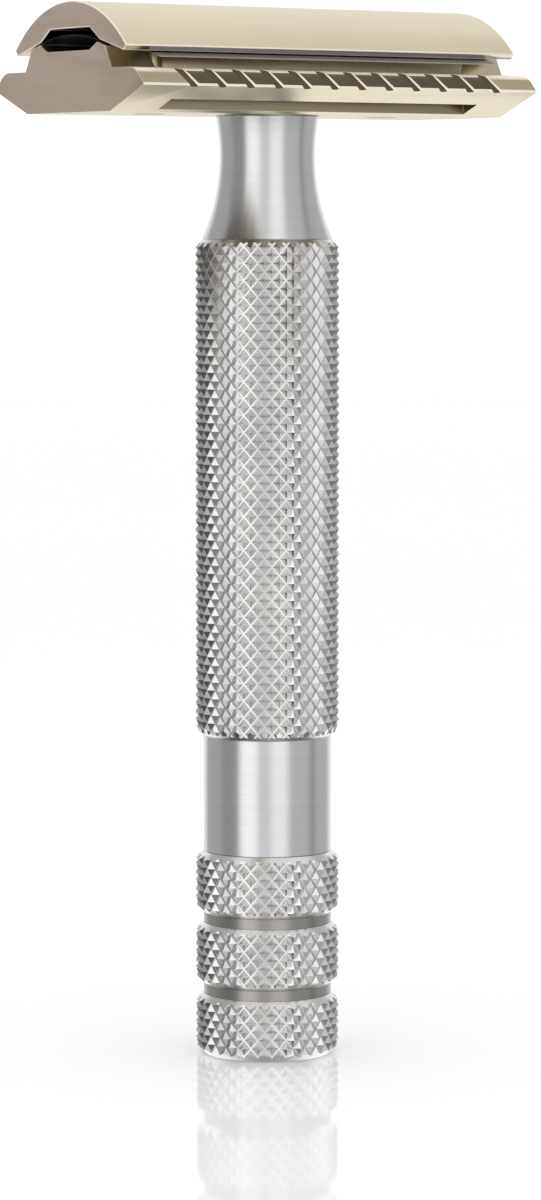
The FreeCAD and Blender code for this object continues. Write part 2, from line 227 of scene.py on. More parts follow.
def settle(piece):
    """Turn a piece's modifiers into plain mesh."""
    graph = bpy.context.evaluated_depsgraph_get()
    mesh = bpy.data.meshes.new_from_object(piece.evaluated_get(graph))
    piece.modifiers.clear()
    old = piece.data
    piece.data = mesh
    bpy.data.meshes.remove(old)


def combine(piece, tool, operation):
    """Join, cut or intersect a piece with a tool, which is then thrown away."""
    step = piece.modifiers.new("combine", "BOOLEAN")
    step.operation = operation
    step.object = tool
    step.solver = "EXACT"
    settle(piece)
    old = tool.data
    bpy.data.objects.remove(tool)
    bpy.data.meshes.remove(old)


def break_edges(piece, width):
    """Round every sharp edge a little. The rounded faces take the second finish."""
    step = piece.modifiers.new("edge break", "BEVEL")
    step.width = width
    step.segments = 2
    step.material = 1
    step.limit_method = "ANGLE"
    step.angle_limit = math.radians(25)
    step.harden_normals = True
    settle(piece)


def smooth(piece, angle=25):
    """Shade curved stretches smooth and keep real corners crisp."""
    piece.data.shade_smooth()
    piece.data.set_sharp_from_angle(angle=math.radians(angle))


def arc(centre, radius, start, end, steps):
    """Points on an arc, from the start angle to the end angle, ends included."""
    points = []
    for step in range(steps + 1):
        angle = start + (end - start) * step / steps
        points.append((centre[0] + radius * math.cos(angle), centre[1] + radius * math.sin(angle)))
    return points


def lathe(name, section):
    """A turned piece: a closed half section of (radius, height) points spun round the Z axis."""
    bm = bmesh.new()
    rings = []
    for step in range(TURNING_SEGMENTS):
        angle = 2 * math.pi * step / TURNING_SEGMENTS
        rings.append([
            bm.verts.new((radius * math.cos(angle), radius * math.sin(angle), height))
            for radius, height in section
        ])
    for step, ring in enumerate(rings):
        after = rings[(step + 1) % TURNING_SEGMENTS]
        for index in range(len(section)):
            nearby = (index + 1) % len(section)
            if section[index][0] == 0 and section[nearby][0] == 0:
                continue
            bm.faces.new((ring[index], after[index], after[nearby], ring[nearby]))
    bmesh.ops.remove_doubles(bm, verts=bm.verts, dist=1e-7)
    bmesh.ops.dissolve_degenerate(bm, edges=bm.edges, dist=1e-8)
    return piece_from(name, bm)


def eased(section, width):
    """A section whose corners are cut back a little, two points for each corner."""
    result = []
    for index, point in enumerate(section):
        corner = Vector(point)
        before = Vector(section[index - 1])
        after = Vector(section[(index + 1) % len(section)])
        turn = (corner - before).angle(after - corner, 0)
        room = min((corner - before).length, (after - corner).length) / 3
        if corner.x == 0 or turn < math.radians(12):
            result.append(tuple(corner))
            continue
        reach = min(width, room)
        result.append(tuple(corner + (before - corner).normalized() * reach))
        result.append(tuple(corner + (after - corner).normalized() * reach))
    return result


def bar(name, section, low, high):
    """A straight bar along X with a closed (y, z) section."""
    bm = bmesh.new()
    ends = []
    for place in (low, high):
        ends.append([bm.verts.new((place, across, height)) for across, height in section])
    for index in range(len(section)):
        nearby = (index + 1) % len(section)
        bm.faces.new((ends[0][index], ends[1][index], ends[1][nearby], ends[0][nearby]))
    bm.faces.new(ends[0])
    bm.faces.new(ends[1])
    return piece_from(name, bm)


def block(name, outline, low, high):
    """An upright block with a closed (x, y) outline."""
    bm = bmesh.new()
    ends = []
    for height in (low, high):
        ends.append([bm.verts.new((x, y, height)) for x, y in outline])
    for index in range(len(outline)):
        nearby = (index + 1) % len(outline)
        bm.faces.new((ends[0][index], ends[0][nearby], ends[1][nearby], ends[1][index]))
    bm.faces.new(ends[0])
    bm.faces.new(ends[1])
    return piece_from(name, bm)


def box_outline(low_x, low_y, high_x, high_y):
    return [(low_x, low_y), (high_x, low_y), (high_x, high_y), (low_x, high_y)]


def disc_outline(x, y, radius, steps=48):
    return arc((x, y), radius, 0, 2 * math.pi, steps)[:-1]


def both_sides(half):
    """A half outline completed with its mirror image."""
    return half + [(-across, height) for across, height in reversed(half)]


def head_points(points):
    """Section points in millimetres above the plate's bottom, as places in the frame."""
    return [(across * MM, HEAD_BASE + height * MM) for across, height in points]


# ---------------------------------------------------------------- geometry node trees


def new_node(tree, kind, **settings):
    """A node with its settings, and its constant inputs given by name."""
    inputs = settings.pop("inputs", {})
    made = tree.nodes.new(kind)
    for name, value in settings.items():
        setattr(made, name, value)
    for name, value in inputs.items():
        made.inputs[name].default_value = value
    return made


def number(tree, operation, first, second):
    """A Math node on two sockets or constants."""
    made = new_node(tree, "ShaderNodeMath", operation=operation)
    for slot, value in zip(made.inputs, (first, second)):
        if isinstance(value, (int, float)):
            slot.default_value = value
        else:
            tree.links.new(value, slot)
    return made.outputs[0]


def new_geometry_tree(name, inputs):
    tree = bpy.data.node_groups.new(name, "GeometryNodeTree")
    tree.interface.new_socket("Geometry", in_out="INPUT", socket_type="NodeSocketGeometry")
    for label, kind in inputs:
        tree.interface.new_socket(label, in_out="INPUT", socket_type=kind)
    tree.interface.new_socket("Geometry", in_out="OUTPUT", socket_type="NodeSocketGeometry")
    return tree


def repeat_at(tree, source, count, place, turn):
    """Copies of the source geometry, made real, welded and given the material input."""
    points = new_node(tree, "GeometryNodePoints")
    copies = new_node(tree, "GeometryNodeInstanceOnPoints")
    real = new_node(tree, "GeometryNodeRealizeInstances")
    weld = new_node(tree, "GeometryNodeMergeByDistance", inputs={"Distance": 1e-6})
    dress = new_node(tree, "GeometryNodeSetMaterial")
    result = new_node(tree, "NodeGroupOutput")
    tree.links.new(count, points.inputs["Count"])
    tree.links.new(place, points.inputs["Position"])
    tree.links.new(points.outputs[0], copies.inputs["Points"])
    tree.links.new(source.outputs["Geometry"], copies.inputs["Instance"])
    if turn is not None:
        tree.links.new(turn, copies.inputs["Rotation"])
    tree.links.new(copies.outputs[0], real.inputs[0])
    tree.links.new(real.outputs[0], weld.inputs[0])
    tree.links.new(weld.outputs[0], dress.inputs["Geometry"])
    tree.links.new(source.outputs["Material"], dress.inputs["Material"])
    tree.links.new(dress.outputs[0], result.inputs[0])


def knurl_tree():
    """Sets one pyramid in staggered rows round the Z axis."""
    tree = bpy.data.node_groups.get("Diamond knurl")
    if tree:
        return tree
    tree = new_geometry_tree("Diamond knurl", (
        ("Around", "NodeSocketInt"),
        ("Rows", "NodeSocketInt"),
        ("Row Step", "NodeSocketFloat"),
        ("Start Height", "NodeSocketFloat"),
        ("Material", "NodeSocketMaterial"),
    ))
    source = new_node(tree, "NodeGroupInput")
    index = new_node(tree, "GeometryNodeInputIndex").outputs[0]
    around = source.outputs["Around"]
    row = number(tree, "FLOOR", number(tree, "DIVIDE", index, around), 0)
    column = number(tree, "SUBTRACT", index, number(tree, "MULTIPLY", row, around))
    stagger = number(tree, "MULTIPLY", number(tree, "MODULO", row, 2), 0.5)
    step = number(tree, "DIVIDE", 2 * math.pi, around)
    angle = number(tree, "MULTIPLY", number(tree, "ADD", column, stagger), step)
    rise = number(tree, "MULTIPLY", row, source.outputs["Row Step"])
    height = number(tree, "ADD", rise, source.outputs["Start Height"])
    place = new_node(tree, "ShaderNodeCombineXYZ")
    tree.links.new(height, place.inputs["Z"])
    euler = new_node(tree, "ShaderNodeCombineXYZ")
    tree.links.new(angle, euler.inputs["Z"])
    turn = new_node(tree, "FunctionNodeEulerToRotation")
    tree.links.new(euler.outputs[0], turn.inputs[0])
    count = number(tree, "MULTIPLY", around, source.outputs["Rows"])
    repeat_at(tree, source, count, place.outputs[0], turn.outputs[0])
    return tree


def row_tree():
    """Sets one shape in an even row along X."""
    tree = bpy.data.node_groups.get("Row along X")
    if tree:
        return tree
    tree = new_geometry_tree("Row along X", (
        ("Count", "NodeSocketInt"),
        ("Start", "NodeSocketFloat"),
        ("Step", "NodeSocketFloat"),
        ("Material", "NodeSocketMaterial"),
    ))
    source = new_node(tree, "NodeGroupInput")
    index = new_node(tree, "GeometryNodeInputIndex").outputs[0]
    along = number(tree, "MULTIPLY", index, source.outputs["Step"])
    place = new_node(tree, "ShaderNodeCombineXYZ")
    tree.links.new(number(tree, "ADD", along, source.outputs["Start"]), place.inputs["X"])
    repeat_at(tree, source, source.outputs["Count"], place.outputs[0], None)
    return tree


def run_tree(piece, tree, values):
    """Give a piece a geometry node tree with its values, and turn the result into plain mesh."""
    step = piece.modifiers.new(tree.name, "NODES")
    step.node_group = tree
    for item in tree.interface.items_tree:
        if item.in_out == "INPUT" and item.name in values:
            step[item.identifier] = values[item.name]
    settle(piece)


# ---------------------------------------------------------------- materials


def new_shader_group(name, inputs, outputs):
    tree = bpy.data.node_groups.new(name, "ShaderNodeTree")
    for label, kind, value in inputs:
        made = tree.interface.new_socket(label, in_out="INPUT", socket_type=kind)
        made.default_value = value
    for label, kind in outputs:
        tree.interface.new_socket(label, in_out="OUTPUT", socket_type=kind)
    return tree


def brushing_group():
    """Fine parallel marks. Stretch is the number of marks per metre along each axis."""
    tree = bpy.data.node_groups.get("Brushed marks")
    if tree:
        return tree
    tree = new_shader_group(
        "Brushed marks",
        (("Stretch", "NodeSocketVector", (60, 6000, 6000)),),
        (("Marks", "NodeSocketFloat"), ("Bands", "NodeSocketFloat")),
    )
    source = new_node(tree, "NodeGroupInput")
    result = new_node(tree, "NodeGroupOutput")
    place = new_node(tree, "ShaderNodeTexCoord")
    for output, share, detail in (("Marks", 1.0, 5.0), ("Bands", 0.12, 2.0)):
        scaled = new_node(tree, "ShaderNodeVectorMath", operation="MULTIPLY")
        shrunk = new_node(tree, "ShaderNodeVectorMath", operation="SCALE", inputs={"Scale": share})
        fineness = {"Scale": 1.0, "Detail": detail, "Roughness": 0.6}
        noise = new_node(tree, "ShaderNodeTexNoise", inputs=fineness)
        tree.links.new(place.outputs["Object"], scaled.inputs[0])
        tree.links.new(source.outputs["Stretch"], scaled.inputs[1])
        tree.links.new(scaled.outputs[0], shrunk.inputs[0])
        tree.links.new(shrunk.outputs[0], noise.inputs["Vector"])
        tree.links.new(noise.outputs["Fac"], result.inputs[output])
    return tree


def grit_group():
    """Fine blasted grit, with a slower drift over the surface."""
    tree = bpy.data.node_groups.get("Blasted grit")
    if tree:
        return tree
    tree = new_shader_group(
        "Blasted grit",
        (("Grain", "NodeSocketFloat", 9000.0), ("Drift Scale", "NodeSocketFloat", 120.0)),
        (("Grit", "NodeSocketFloat"), ("Drift", "NodeSocketFloat")),
    )
    source = new_node(tree, "NodeGroupInput")
    result = new_node(tree, "NodeGroupOutput")
    place = new_node(tree, "ShaderNodeTexCoord")
    for output, size, detail in (("Grit", "Grain", 3.0), ("Drift", "Drift Scale", 2.0)):
        noise = new_node(tree, "ShaderNodeTexNoise", inputs={"Detail": detail, "Roughness": 0.55})
        tree.links.new(place.outputs["Object"], noise.inputs["Vector"])
        tree.links.new(source.outputs[size], noise.inputs["Scale"])
        tree.links.new(noise.outputs["Fac"], result.inputs[output])
    return tree


def spread(tree, value, low, high):
    """A mask stretched over the range from low to high."""
    made = new_node(tree, "ShaderNodeMapRange", inputs={"From Min": 0.25, "From Max": 0.75})
    made.inputs["To Min"].default_value = low
    made.inputs["To Max"].default_value = high
    tree.links.new(value, made.inputs["Value"])
    return made.outputs[0]


def steel(name, tint, stretch, roughness, bump, shade=0.9):
    """A metal finish with parallel marks and fine grit. roughness and shade are low and high ends."""
    made = bpy.data.materials.get(name)
    if made:
        return made
    made = bpy.data.materials.new(name)
    made.use_nodes = True
    tree = made.node_tree
    shader = tree.nodes["Principled BSDF"]
    shader.inputs["Metallic"].default_value = 1.0
    marks = new_node(tree, "ShaderNodeGroup", node_tree=brushing_group())
    marks.inputs["Stretch"].default_value = stretch
    grit = new_node(tree, "ShaderNodeGroup", node_tree=grit_group())
    tone = number(tree, "ADD", marks.outputs["Bands"], grit.outputs["Drift"])
    tone = number(tree, "MULTIPLY", tone, 0.5)
    colour = new_node(tree, "ShaderNodeMix", data_type="RGBA")
    colour.inputs["A"].default_value = (*(part * shade for part in tint), 1)
    colour.inputs["B"].default_value = (*(min(1.0, part * (2 - shade)) for part in tint), 1)
    tree.links.new(spread(tree, tone, 0.0, 1.0), colour.inputs["Factor"])
    tree.links.new(colour.outputs["Result"], shader.inputs["Base Color"])
    rough = number(tree, "ADD", marks.outputs["Marks"], grit.outputs["Grit"])
    rough = number(tree, "MULTIPLY", rough, 0.5)
    tree.links.new(spread(tree, rough, roughness[0], roughness[1]), shader.inputs["Roughness"])
    relief = new_node(tree, "ShaderNodeBump", inputs={"Strength": 1.0, "Distance": bump})
    tree.links.new(rough, relief.inputs["Height"])
    tree.links.new(relief.outputs[0], shader.inputs["Normal"])
    return made


def satin_nickel():
    tint = bpy.context.scene.razor_finishes.head_tint
    return steel("satin nickel", tint, (90, 7000, 7000), (0.26, 0.40), 0.004 * MM, 0.95)


def turned_steel():
    tint = bpy.context.scene.razor_finishes.handle_tint
    return steel("turned satin steel", tint, (160, 160, 9000), (0.17, 0.30), 0.004 * MM, 0.95)


def knurl_steel():
    tint = bpy.context.scene.razor_finishes.knurl_tint
    return steel("cut knurl steel", tint, (1800, 1800, 1800), (0.14, 0.28), 0.008 * MM, 0.88)


def bright_steel():
    tint = bpy.context.scene.razor_finishes.handle_tint
    return steel("machined steel", tint, (200, 200, 6000), (0.20, 0.34), 0.004 * MM, 0.92)


# Where the blade's painted shade, near black at its middle, gives way to grey and then to the bright hone,
# which is partly ground steel and partly painted highlight: from, to, added tone
STRIP_SHADE_AND_HIGHLIGHT_TONES = (
    (6.4 * MM, 6.9 * MM, 0.66),
    (9.95 * MM, 10.1 * MM, 0.50),
)


def strip_steel_painted_shade_and_highlight():
    """Strip steel, painted near black at its middle as shade, and ground bright along both honed edges,
    partly as painted highlight.
    """
    tint = bpy.context.scene.razor_finishes.blade_tint
    made = steel("blade strip steel painted shade and highlight", tint, (400, 9000, 9000), (0.14, 0.26), 0.002 * MM, 0.94)
    tree = made.node_tree
    shader = tree.nodes["Principled BSDF"]
    ground = shader.inputs["Base Color"].links[0].from_socket
    place = new_node(tree, "ShaderNodeTexCoord")
    parts = new_node(tree, "ShaderNodeSeparateXYZ")
    tree.links.new(place.outputs["Object"], parts.inputs[0])
    across = number(tree, "ABSOLUTE", parts.outputs["Y"], 0.0)
    # Near-black base tone: painted shade over the blade's middle.
    tone = 0.04
    for start, stop, painted_tone_gain in STRIP_SHADE_AND_HIGHLIGHT_TONES:
        span = {"From Min": start, "From Max": stop, "To Max": painted_tone_gain}
        step = new_node(tree, "ShaderNodeMapRange", inputs=span)
        tree.links.new(across, step.inputs["Value"])
        tone = number(tree, "ADD", step.outputs[0], tone)
    toned = new_node(tree, "ShaderNodeVectorMath", operation="SCALE")
    tree.links.new(ground, toned.inputs[0])
    tree.links.new(tone, toned.inputs["Scale"])
    tree.links.new(toned.outputs[0], shader.inputs["Base Color"])
    return made


def polished_nickel():
    tint = bpy.context.scene.razor_finishes.polish_tint
    return steel("polished nickel", tint, (120, 5000, 5000), (0.14, 0.24), 0.001 * MM, 0.97)


# Painted shade: the bars' fluted faces take this near-black copy of the nickel.
def milled_nickel_painted_shade():
    tint = bpy.context.scene.razor_finishes.panel_shade_tint
    return steel("milled nickel painted shade", tint, (5000, 200, 200), (0.12, 0.24), 0.002 * MM, 0.90)


# Painted shade on the plate's upright walls and the bars' plain ends.
def wall_nickel_painted_shade():
    tint = bpy.context.scene.razor_finishes.wall_shade_tint
    return steel("wall nickel painted shade", tint, (90, 7000, 7000), (0.22, 0.36), 0.003 * MM, 0.92)


# Painted shade for the spacers sunk between the rings.
def groove_steel_painted_shade():
    tint = bpy.context.scene.razor_finishes.groove_shade_tint
    return steel("groove steel painted shade", tint, (160, 160, 9000), (0.20, 0.34), 0.004 * MM, 0.93)


def ground_nickel():
    tint = bpy.context.scene.razor_finishes.end_tint
    return steel("ground nickel", tint, (900, 300, 9000), (0.26, 0.38), 0.004 * MM, 0.93)


# Painted highlight: the low metallic share lets these faces take in the white backdrop and stay bright
# whatever the light's direction.
def worn_and_highlight_nickel():
    tint = bpy.context.scene.razor_finishes.edge_wear_and_highlight_tint
    made = steel("worn nickel with painted highlight", tint, (120, 5000, 5000), (0.30, 0.42), 0.002 * MM, 0.96)
    made.node_tree.nodes["Principled BSDF"].inputs["Metallic"].default_value = 0.25
    return made


def coat_head(piece):
    """Satin nickel all over, with the broken edges partly worn and partly painted bright as highlight."""
    piece.data.materials.clear()
    piece.data.materials.append(satin_nickel())
    piece.data.materials.append(worn_and_highlight_nickel())
    break_edges(piece, bpy.context.scene.razor_head.edge)
    smooth(piece)


def refinish(piece, material, wanted):
    """Give the satin faces that pass a test another finish."""
    piece.data.materials.append(material)
    index = len(piece.data.materials) - 1
    for face in piece.data.polygons:
        if face.material_index == 0 and wanted(face.center, face.normal):
            face.material_index = index


def faces_end(centre, normal):
    """The flat ends of the head."""
    return abs(normal.x) > 0.998 and abs(centre.x) > 21 * MM


def faces_bevel(centre, normal):
    """The polished bevel along the cap's lower edges."""
    return abs(normal.y) * 0.737 - normal.z * 0.676 > 0.97


def faces_bar(centre, normal):
    """The fluted faces of the safety bars."""
    rise = centre.z - HEAD_BASE
    between = abs(centre.x) < 17.6 * MM and abs(centre.y) > 10 * MM
    return between and 2.46 * MM < rise < 3.84 * MM and -0.3 < normal.z < 0.88


def faces_rim_highlight(centre, normal):
    """The tip and roll of each safety bar and one side of every flute, given a painted highlight."""
    rise = centre.z - HEAD_BASE
    tip = abs(centre.y) > 12.6 * MM and 0.0 < normal.z < 0.6
    roll = abs(centre.y) > 10 * MM and 3.2 * MM < rise < 3.84 * MM and 0.88 <= normal.z < 0.985
    flute = faces_bar(centre, normal) and normal.x < -0.7
    return abs(normal.x) < 0.9 and (tip or roll or flute)


def faces_bar_end(centre, normal):
    """The plain ends of the safety bars' sloping faces."""
    return 17.6 * MM <= abs(centre.x) < 21.8 * MM and 0.6 < normal.z < 0.8 and abs(centre.y) > 11 * MM


def faces_wall(centre, normal):
    """The upright walls of the blade bed and the lather slots."""
    between = abs(centre.x) < 17.4 * MM and 6 * MM < abs(centre.y) < 10 * MM
    return between and abs(normal.z) < 0.2


def dress(piece, material, body, slot_name, node):
    """Give a finished piece its body and a material if it has none yet, and hide its frame node's CAD part.
    The slot name is not used.
    """
    if material:
        piece.data.materials.clear()
        piece.data.materials.append(material)
    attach(piece, body)
    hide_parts(node)


# ---------------------------------------------------------------- handle pieces


def knurl_cell(name, sizes, crest_radius):
    """One pyramid with its share of the valley, standing on the X side of the axis."""
    valley_radius = crest_radius - sizes.depth
    half_angle = math.pi / sizes.around
    half_height = sizes.pitch / 2
    levels = ((1.0, valley_radius), (1.0 - sizes.valley, valley_radius), (sizes.crest, crest_radius))
    bm = bmesh.new()
    loops = []
    for share, radius in levels:
        loop = []
        for side, rise in ((-1, 0), (0, -1), (1, 0), (0, 1)):
            angle = side * half_angle * share
            place = (radius * math.cos(angle), radius * math.sin(angle), rise * half_height * share)
            loop.append(bm.verts.new(place))
        loops.append(loop)
    for outer, inner in zip(loops, loops[1:]):
        for index in range(4):
            nearby = (index + 1) % 4
            bm.faces.new((outer[index], outer[nearby], inner[nearby], inner[index]))
    bm.faces.new(loops[-1])
    mesh = bpy.data.meshes.new(name)
    bm.to_mesh(mesh)
    bm.free()
    return new_piece(name, mesh)


def close_ends(piece, reach):
    """Close both open ends of a knurled skin with a flat disc a little way beyond."""
    bm = bmesh.new()
    bm.from_mesh(piece.data)
    middle = sum((vert.co.z for vert in bm.verts)) / len(bm.verts)
    for way in (-1, 1):
        rim = [edge for edge in bm.edges if edge.is_boundary and (edge.verts[0].co.z - middle) * way > 0]
        level = max(vert.co.z * way for edge in rim for vert in edge.verts) * way + way * reach
        made = bmesh.ops.extrude_edge_only(bm, edges=rim)["geom"]
        for vert in [item for item in made if isinstance(item, bmesh.types.BMVert)]:
            vert.co.z = level
        edges = [item for item in made if isinstance(item, bmesh.types.BMEdge) and item.is_boundary]
        bmesh.ops.contextual_create(bm, geom=edges)
    bmesh.ops.recalc_face_normals(bm, faces=bm.faces)
    bm.to_mesh(piece.data)
    bm.free()


def knurled(name, section, low, high, crest_radius):
    """A turned sleeve with a real diamond knurl cut between two heights."""
    sizes = bpy.context.scene.razor_knurl
    skin = knurl_cell(name, sizes, crest_radius)
    row_step = sizes.pitch / 2
    rows = math.ceil((high - low) / row_step) + 5
    start = (low + high) / 2 - row_step * (rows - 1) / 2
    run_tree(skin, knurl_tree(), {
        "Around": sizes.around, "Rows": rows, "Row Step": row_step,
        "Start Height": start, "Material": knurl_steel(),
    })
    close_ends(skin, row_step)
    blank = lathe(name + " blank", section)
    combine(skin, blank, "INTERSECT")
    smooth(skin, 12)
    return skin


class RAZOR_OT_grip(bpy.types.Operator):
    """Make the long knurled grip sleeve"""

    bl_idname = "razor.grip"
    bl_label = "Grip sleeve"

    def execute(self, context):
        low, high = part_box("grip_sleeve")
        foot_rise = 1.5 * MM
        shoulder = 0.8 * MM
        bore = 4.65 * MM
        clear = 0.03 * MM
        section = [
            (bore, low.z),
            (6.05 * MM, low.z),
            (6.42 * MM, low.z + 0.30 * MM),
            (6.62 * MM, low.z + 0.75 * MM),
            (high.x + clear, low.z + foot_rise),
            (high.x + clear, high.z - shoulder),
            (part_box("neck")[1].x, high.z),
            (bore, high.z),
        ]
        piece = knurled("grip", section, low.z, high.z, high.x)
        dress(piece, knurl_steel(), "handle", "knurled_steel", "grip_sleeve")
        return {"FINISHED"}


class RAZOR_OT_rings(bpy.types.Operator):
    """Make the three knurled rings"""

    bl_idname = "razor.rings"
    bl_label = "Knurled rings"

    def execute(self, context):
        sizes = context.scene.razor_handle
        edge_radius = 6.03 * MM
        foot_radius = 5.9 * MM
        bore = 3.05 * MM
        recess_radius = 4.3 * MM
        recess_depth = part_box("base_nut")[1].z
        clear = 0.03 * MM
        for name in ("upper_ring", "middle_ring", "lower_ring"):
            low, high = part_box(name)
            section = [
                (high.x + clear, high.z - sizes.ring_bevel - clear),
                (edge_radius, high.z),
                (bore, high.z),
            ]
            if name == "lower_ring":
                section += [(bore, recess_depth), (recess_radius, recess_depth), (recess_radius, low.z)]
                section += [(foot_radius, low.z), (high.x + clear, low.z + sizes.foot_bevel + clear)]
            else:
                section += [(bore, low.z), (edge_radius, low.z)]
                section += [(high.x + clear, low.z + sizes.ring_bevel + clear)]
            piece = knurled("ring." + name[:-5], section, low.z, high.z, high.x)
            dress(piece, knurl_steel(), "handle", "knurled_steel", name)
        return {"FINISHED"}


class RAZOR_OT_smooth_turnings(bpy.types.Operator):
    """Make the neck, the smooth collar and the two spacers"""

    bl_idname = "razor.smooth_turnings"
    bl_label = "Neck, collar and spacers"

    def execute(self, context):
        edge = context.scene.razor_handle.edge
        self.make_neck(edge)
        rod_hole = 3.05 * MM
        spigot = 4.6 * MM
        low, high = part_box("smooth_collar")
        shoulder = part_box("grip_sleeve")[0].z
        collar = [
            (rod_hole, low.z), (high.x, low.z), (high.x, shoulder),
            (spigot, shoulder), (spigot, high.z), (rod_hole, high.z),
        ]
        self.make_turning("collar", eased(collar, edge), "smooth_collar", turned_steel())
        for name in ("upper_spacer", "lower_spacer"):
            low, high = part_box(name)
            spacer = [(rod_hole, low.z), (high.x, low.z), (high.x, high.z), (rod_hole, high.z)]
            # The spacers between the rings take painted shade.
            self.make_turning("spacer." + name[:-7], eased(spacer, edge / 3), name, groove_steel_painted_shade())
        return {"FINISHED"}

    def make_turning(self, name, section, node, finish):
        piece = lathe(name, section)
        smooth(piece)
        dress(piece, finish, "handle", "satin_steel", node)

    def make_neck(self, edge):
        """The waisted neck, tapped at both ends."""
        low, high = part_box("neck")
        sweep = 18.74 * MM
        throat_radius = 4.45 * MM
        throat = HEAD_BASE - 3.7 * MM
        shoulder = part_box("grip_sleeve")[1].z
        spigot = 4.6 * MM
        rod_hole = 3.02 * MM
        rod_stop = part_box("tie_rod")[1].z
        stud_hole = 2.55 * MM
        stud_stop = HEAD_BASE - 7.5 * MM
        centre = (throat_radius + sweep, throat)
        start = math.pi + math.asin((throat - shoulder) / sweep)
        end = math.pi - math.asin((high.z - throat) / sweep)
        waist = arc(centre, sweep, start, end, ARC_STEPS)
        section = [(rod_hole, low.z), (spigot, low.z), (spigot, shoulder)] + waist
        section += [(stud_hole, high.z), (stud_hole, stud_stop), (0.0, stud_stop)]
        section += [(0.0, rod_stop), (rod_hole, rod_stop)]
        self.make_turning("neck", eased(section, edge), "neck", turned_steel())


class RAZOR_OT_fastening(bpy.types.Operator):
    """Make the threaded stud, the locating pins, the tie rod and its nut"""

    bl_idname = "razor.fastening"
    bl_label = "Stud, pins, rod and nut"

    def execute(self, context):
        depth = context.scene.razor_handle.thread_depth
        low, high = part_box("cap_stud")
        stud = threaded("stud", low.z, high.z, high.x, 0.8 * MM, depth, ((low.z, high.z),))
        dress(stud, bright_steel(), "cap", "turned_steel", "cap_stud")
        low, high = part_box("tie_rod")
        ends = ((low.z, low.z + 5 * MM), (high.z - 8 * MM, high.z))
        rod = threaded("rod", low.z, high.z, high.x, 1.0 * MM, depth, ends)
        dress(rod, bright_steel(), "handle", "turned_steel", "tie_rod")
        self.make_pins()
        self.make_nut()
        return {"FINISHED"}

    def make_pins(self):
        low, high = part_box("locating_pins")
        radius = high.y
        point = 0.3 * MM
        section = [
            (0.0, low.z), (radius - point, low.z), (radius, low.z + point), (radius, high.z), (0.0, high.z),
        ]
        pin = lathe("pins", eased(section, 0.05 * MM))
        bm = bmesh.new()
        for side in (-1, 1):
            copy = pin.data.copy()
            copy.transform(Matrix.Translation((side * (high.x - radius), 0, 0)))
            bm.from_mesh(copy)
            bpy.data.meshes.remove(copy)
        bm.to_mesh(pin.data)
        bm.free()
        smooth(pin)
        dress(pin, bright_steel(), "cap", "turned_steel", "locating_pins")

    def make_nut(self):
        low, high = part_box("base_nut")
        bore = 3.02 * MM
        slot_half = 0.6 * MM
        slot_depth = 0.7 * MM
        section = [(bore, low.z), (high.x, low.z), (high.x, high.z), (bore, high.z)]
        nut = lathe("nut", eased(section, 0.15 * MM))
        slot_outline = box_outline(-slot_half, -2 * high.x, slot_half, 2 * high.x)
        combine(nut, block("nut slot", slot_outline, low.z - slot_depth, low.z + slot_depth), "DIFFERENCE")
        smooth(nut)
        dress(nut, bright_steel(), "handle", "turned_steel", "base_nut")


def threaded(name, low, high, radius, pitch, depth, stretches):
    """A rod with a helical V thread over the given stretches of its length."""
    columns = 48
    steps_per_turn = 8
    rows = round((high - low) / pitch * steps_per_turn)
    runout = pitch
    bm = bmesh.new()
    rings = []
    for row in range(rows + 1):
        height = low + (high - low) * row / rows
        ring = []
        for column in range(columns):
            turn = column / columns
            phase = (height / pitch - turn) % 1.0
            cut = 1 - abs(2 * phase - 1)
            share = max(
                min(1.0, (height - start) / runout + 0.4, (stop - height) / runout)
                for start, stop in stretches
            )
            place = radius - depth * cut * max(0.0, share)
            place = min(place, radius - depth * max(0.0, 1 - (height - low) / runout))
            angle = 2 * math.pi * turn
            ring.append(bm.verts.new((place * math.cos(angle), place * math.sin(angle), height)))
        rings.append(ring)
    for below, above in zip(rings, rings[1:]):
        for column in range(columns):
            nearby = (column + 1) % columns
            bm.faces.new((below[column], below[nearby], above[nearby], above[column]))
    bm.faces.new(list(reversed(rings[0])))
    bm.faces.new(rings[-1])
    piece = piece_from(name, bm)
    smooth(piece, 35)
    return piece


# ---------------------------------------------------------------- head pieces


def crown_points(half, low, radius, steps):
    """Points over the cap's crown, from the right edge to the left, in millimetres."""
    drop = math.sqrt(radius ** 2 - half ** 2)
    reach = math.asin(half / radius)
    return arc((0, low - drop), radius, math.pi / 2 - reach, math.pi / 2 + reach, steps)


class RAZOR_OT_cap(bpy.types.Operator):
    """Make the curved cap with its channel and bevelled lower edges"""

    bl_idname = "razor.cap"
    bl_label = "Cap"

    def execute(self, context):
        low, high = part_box("top_cap")
        bevel_half = 9.58
        bevel_height = 5.83
        crown_radius = 12.95
        section = [(5.09, 6.44), (9.14, 5.35)]
        section += crown_points(bevel_half, bevel_height, crown_radius, 2 * ARC_STEPS)
        section += [(-9.14, 5.35), (-5.09, 6.44), (-3.38, 7.6), (3.38, 7.6)]
        cap = bar("cap", head_points(section), low.x, high.x)
        stud_outline = disc_outline(0, 0, 2.52 * MM)
        combine(cap, block("stud hole", stud_outline, HEAD_BASE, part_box("cap_stud")[1].z), "DIFFERENCE")
        for side in (-1, 1):
            pin_outline = disc_outline(side * 13 * MM, 0, 1.52 * MM)
            pin_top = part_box("locating_pins")[1].z
            combine(cap, block("pin hole", pin_outline, HEAD_BASE, pin_top), "DIFFERENCE")
        coat_head(cap)
        refinish(cap, polished_nickel(), faces_bevel)
        refinish(cap, ground_nickel(), faces_end)
        dress(cap, None, "cap", "satin_nickel", "top_cap")
        return {"FINISHED"}


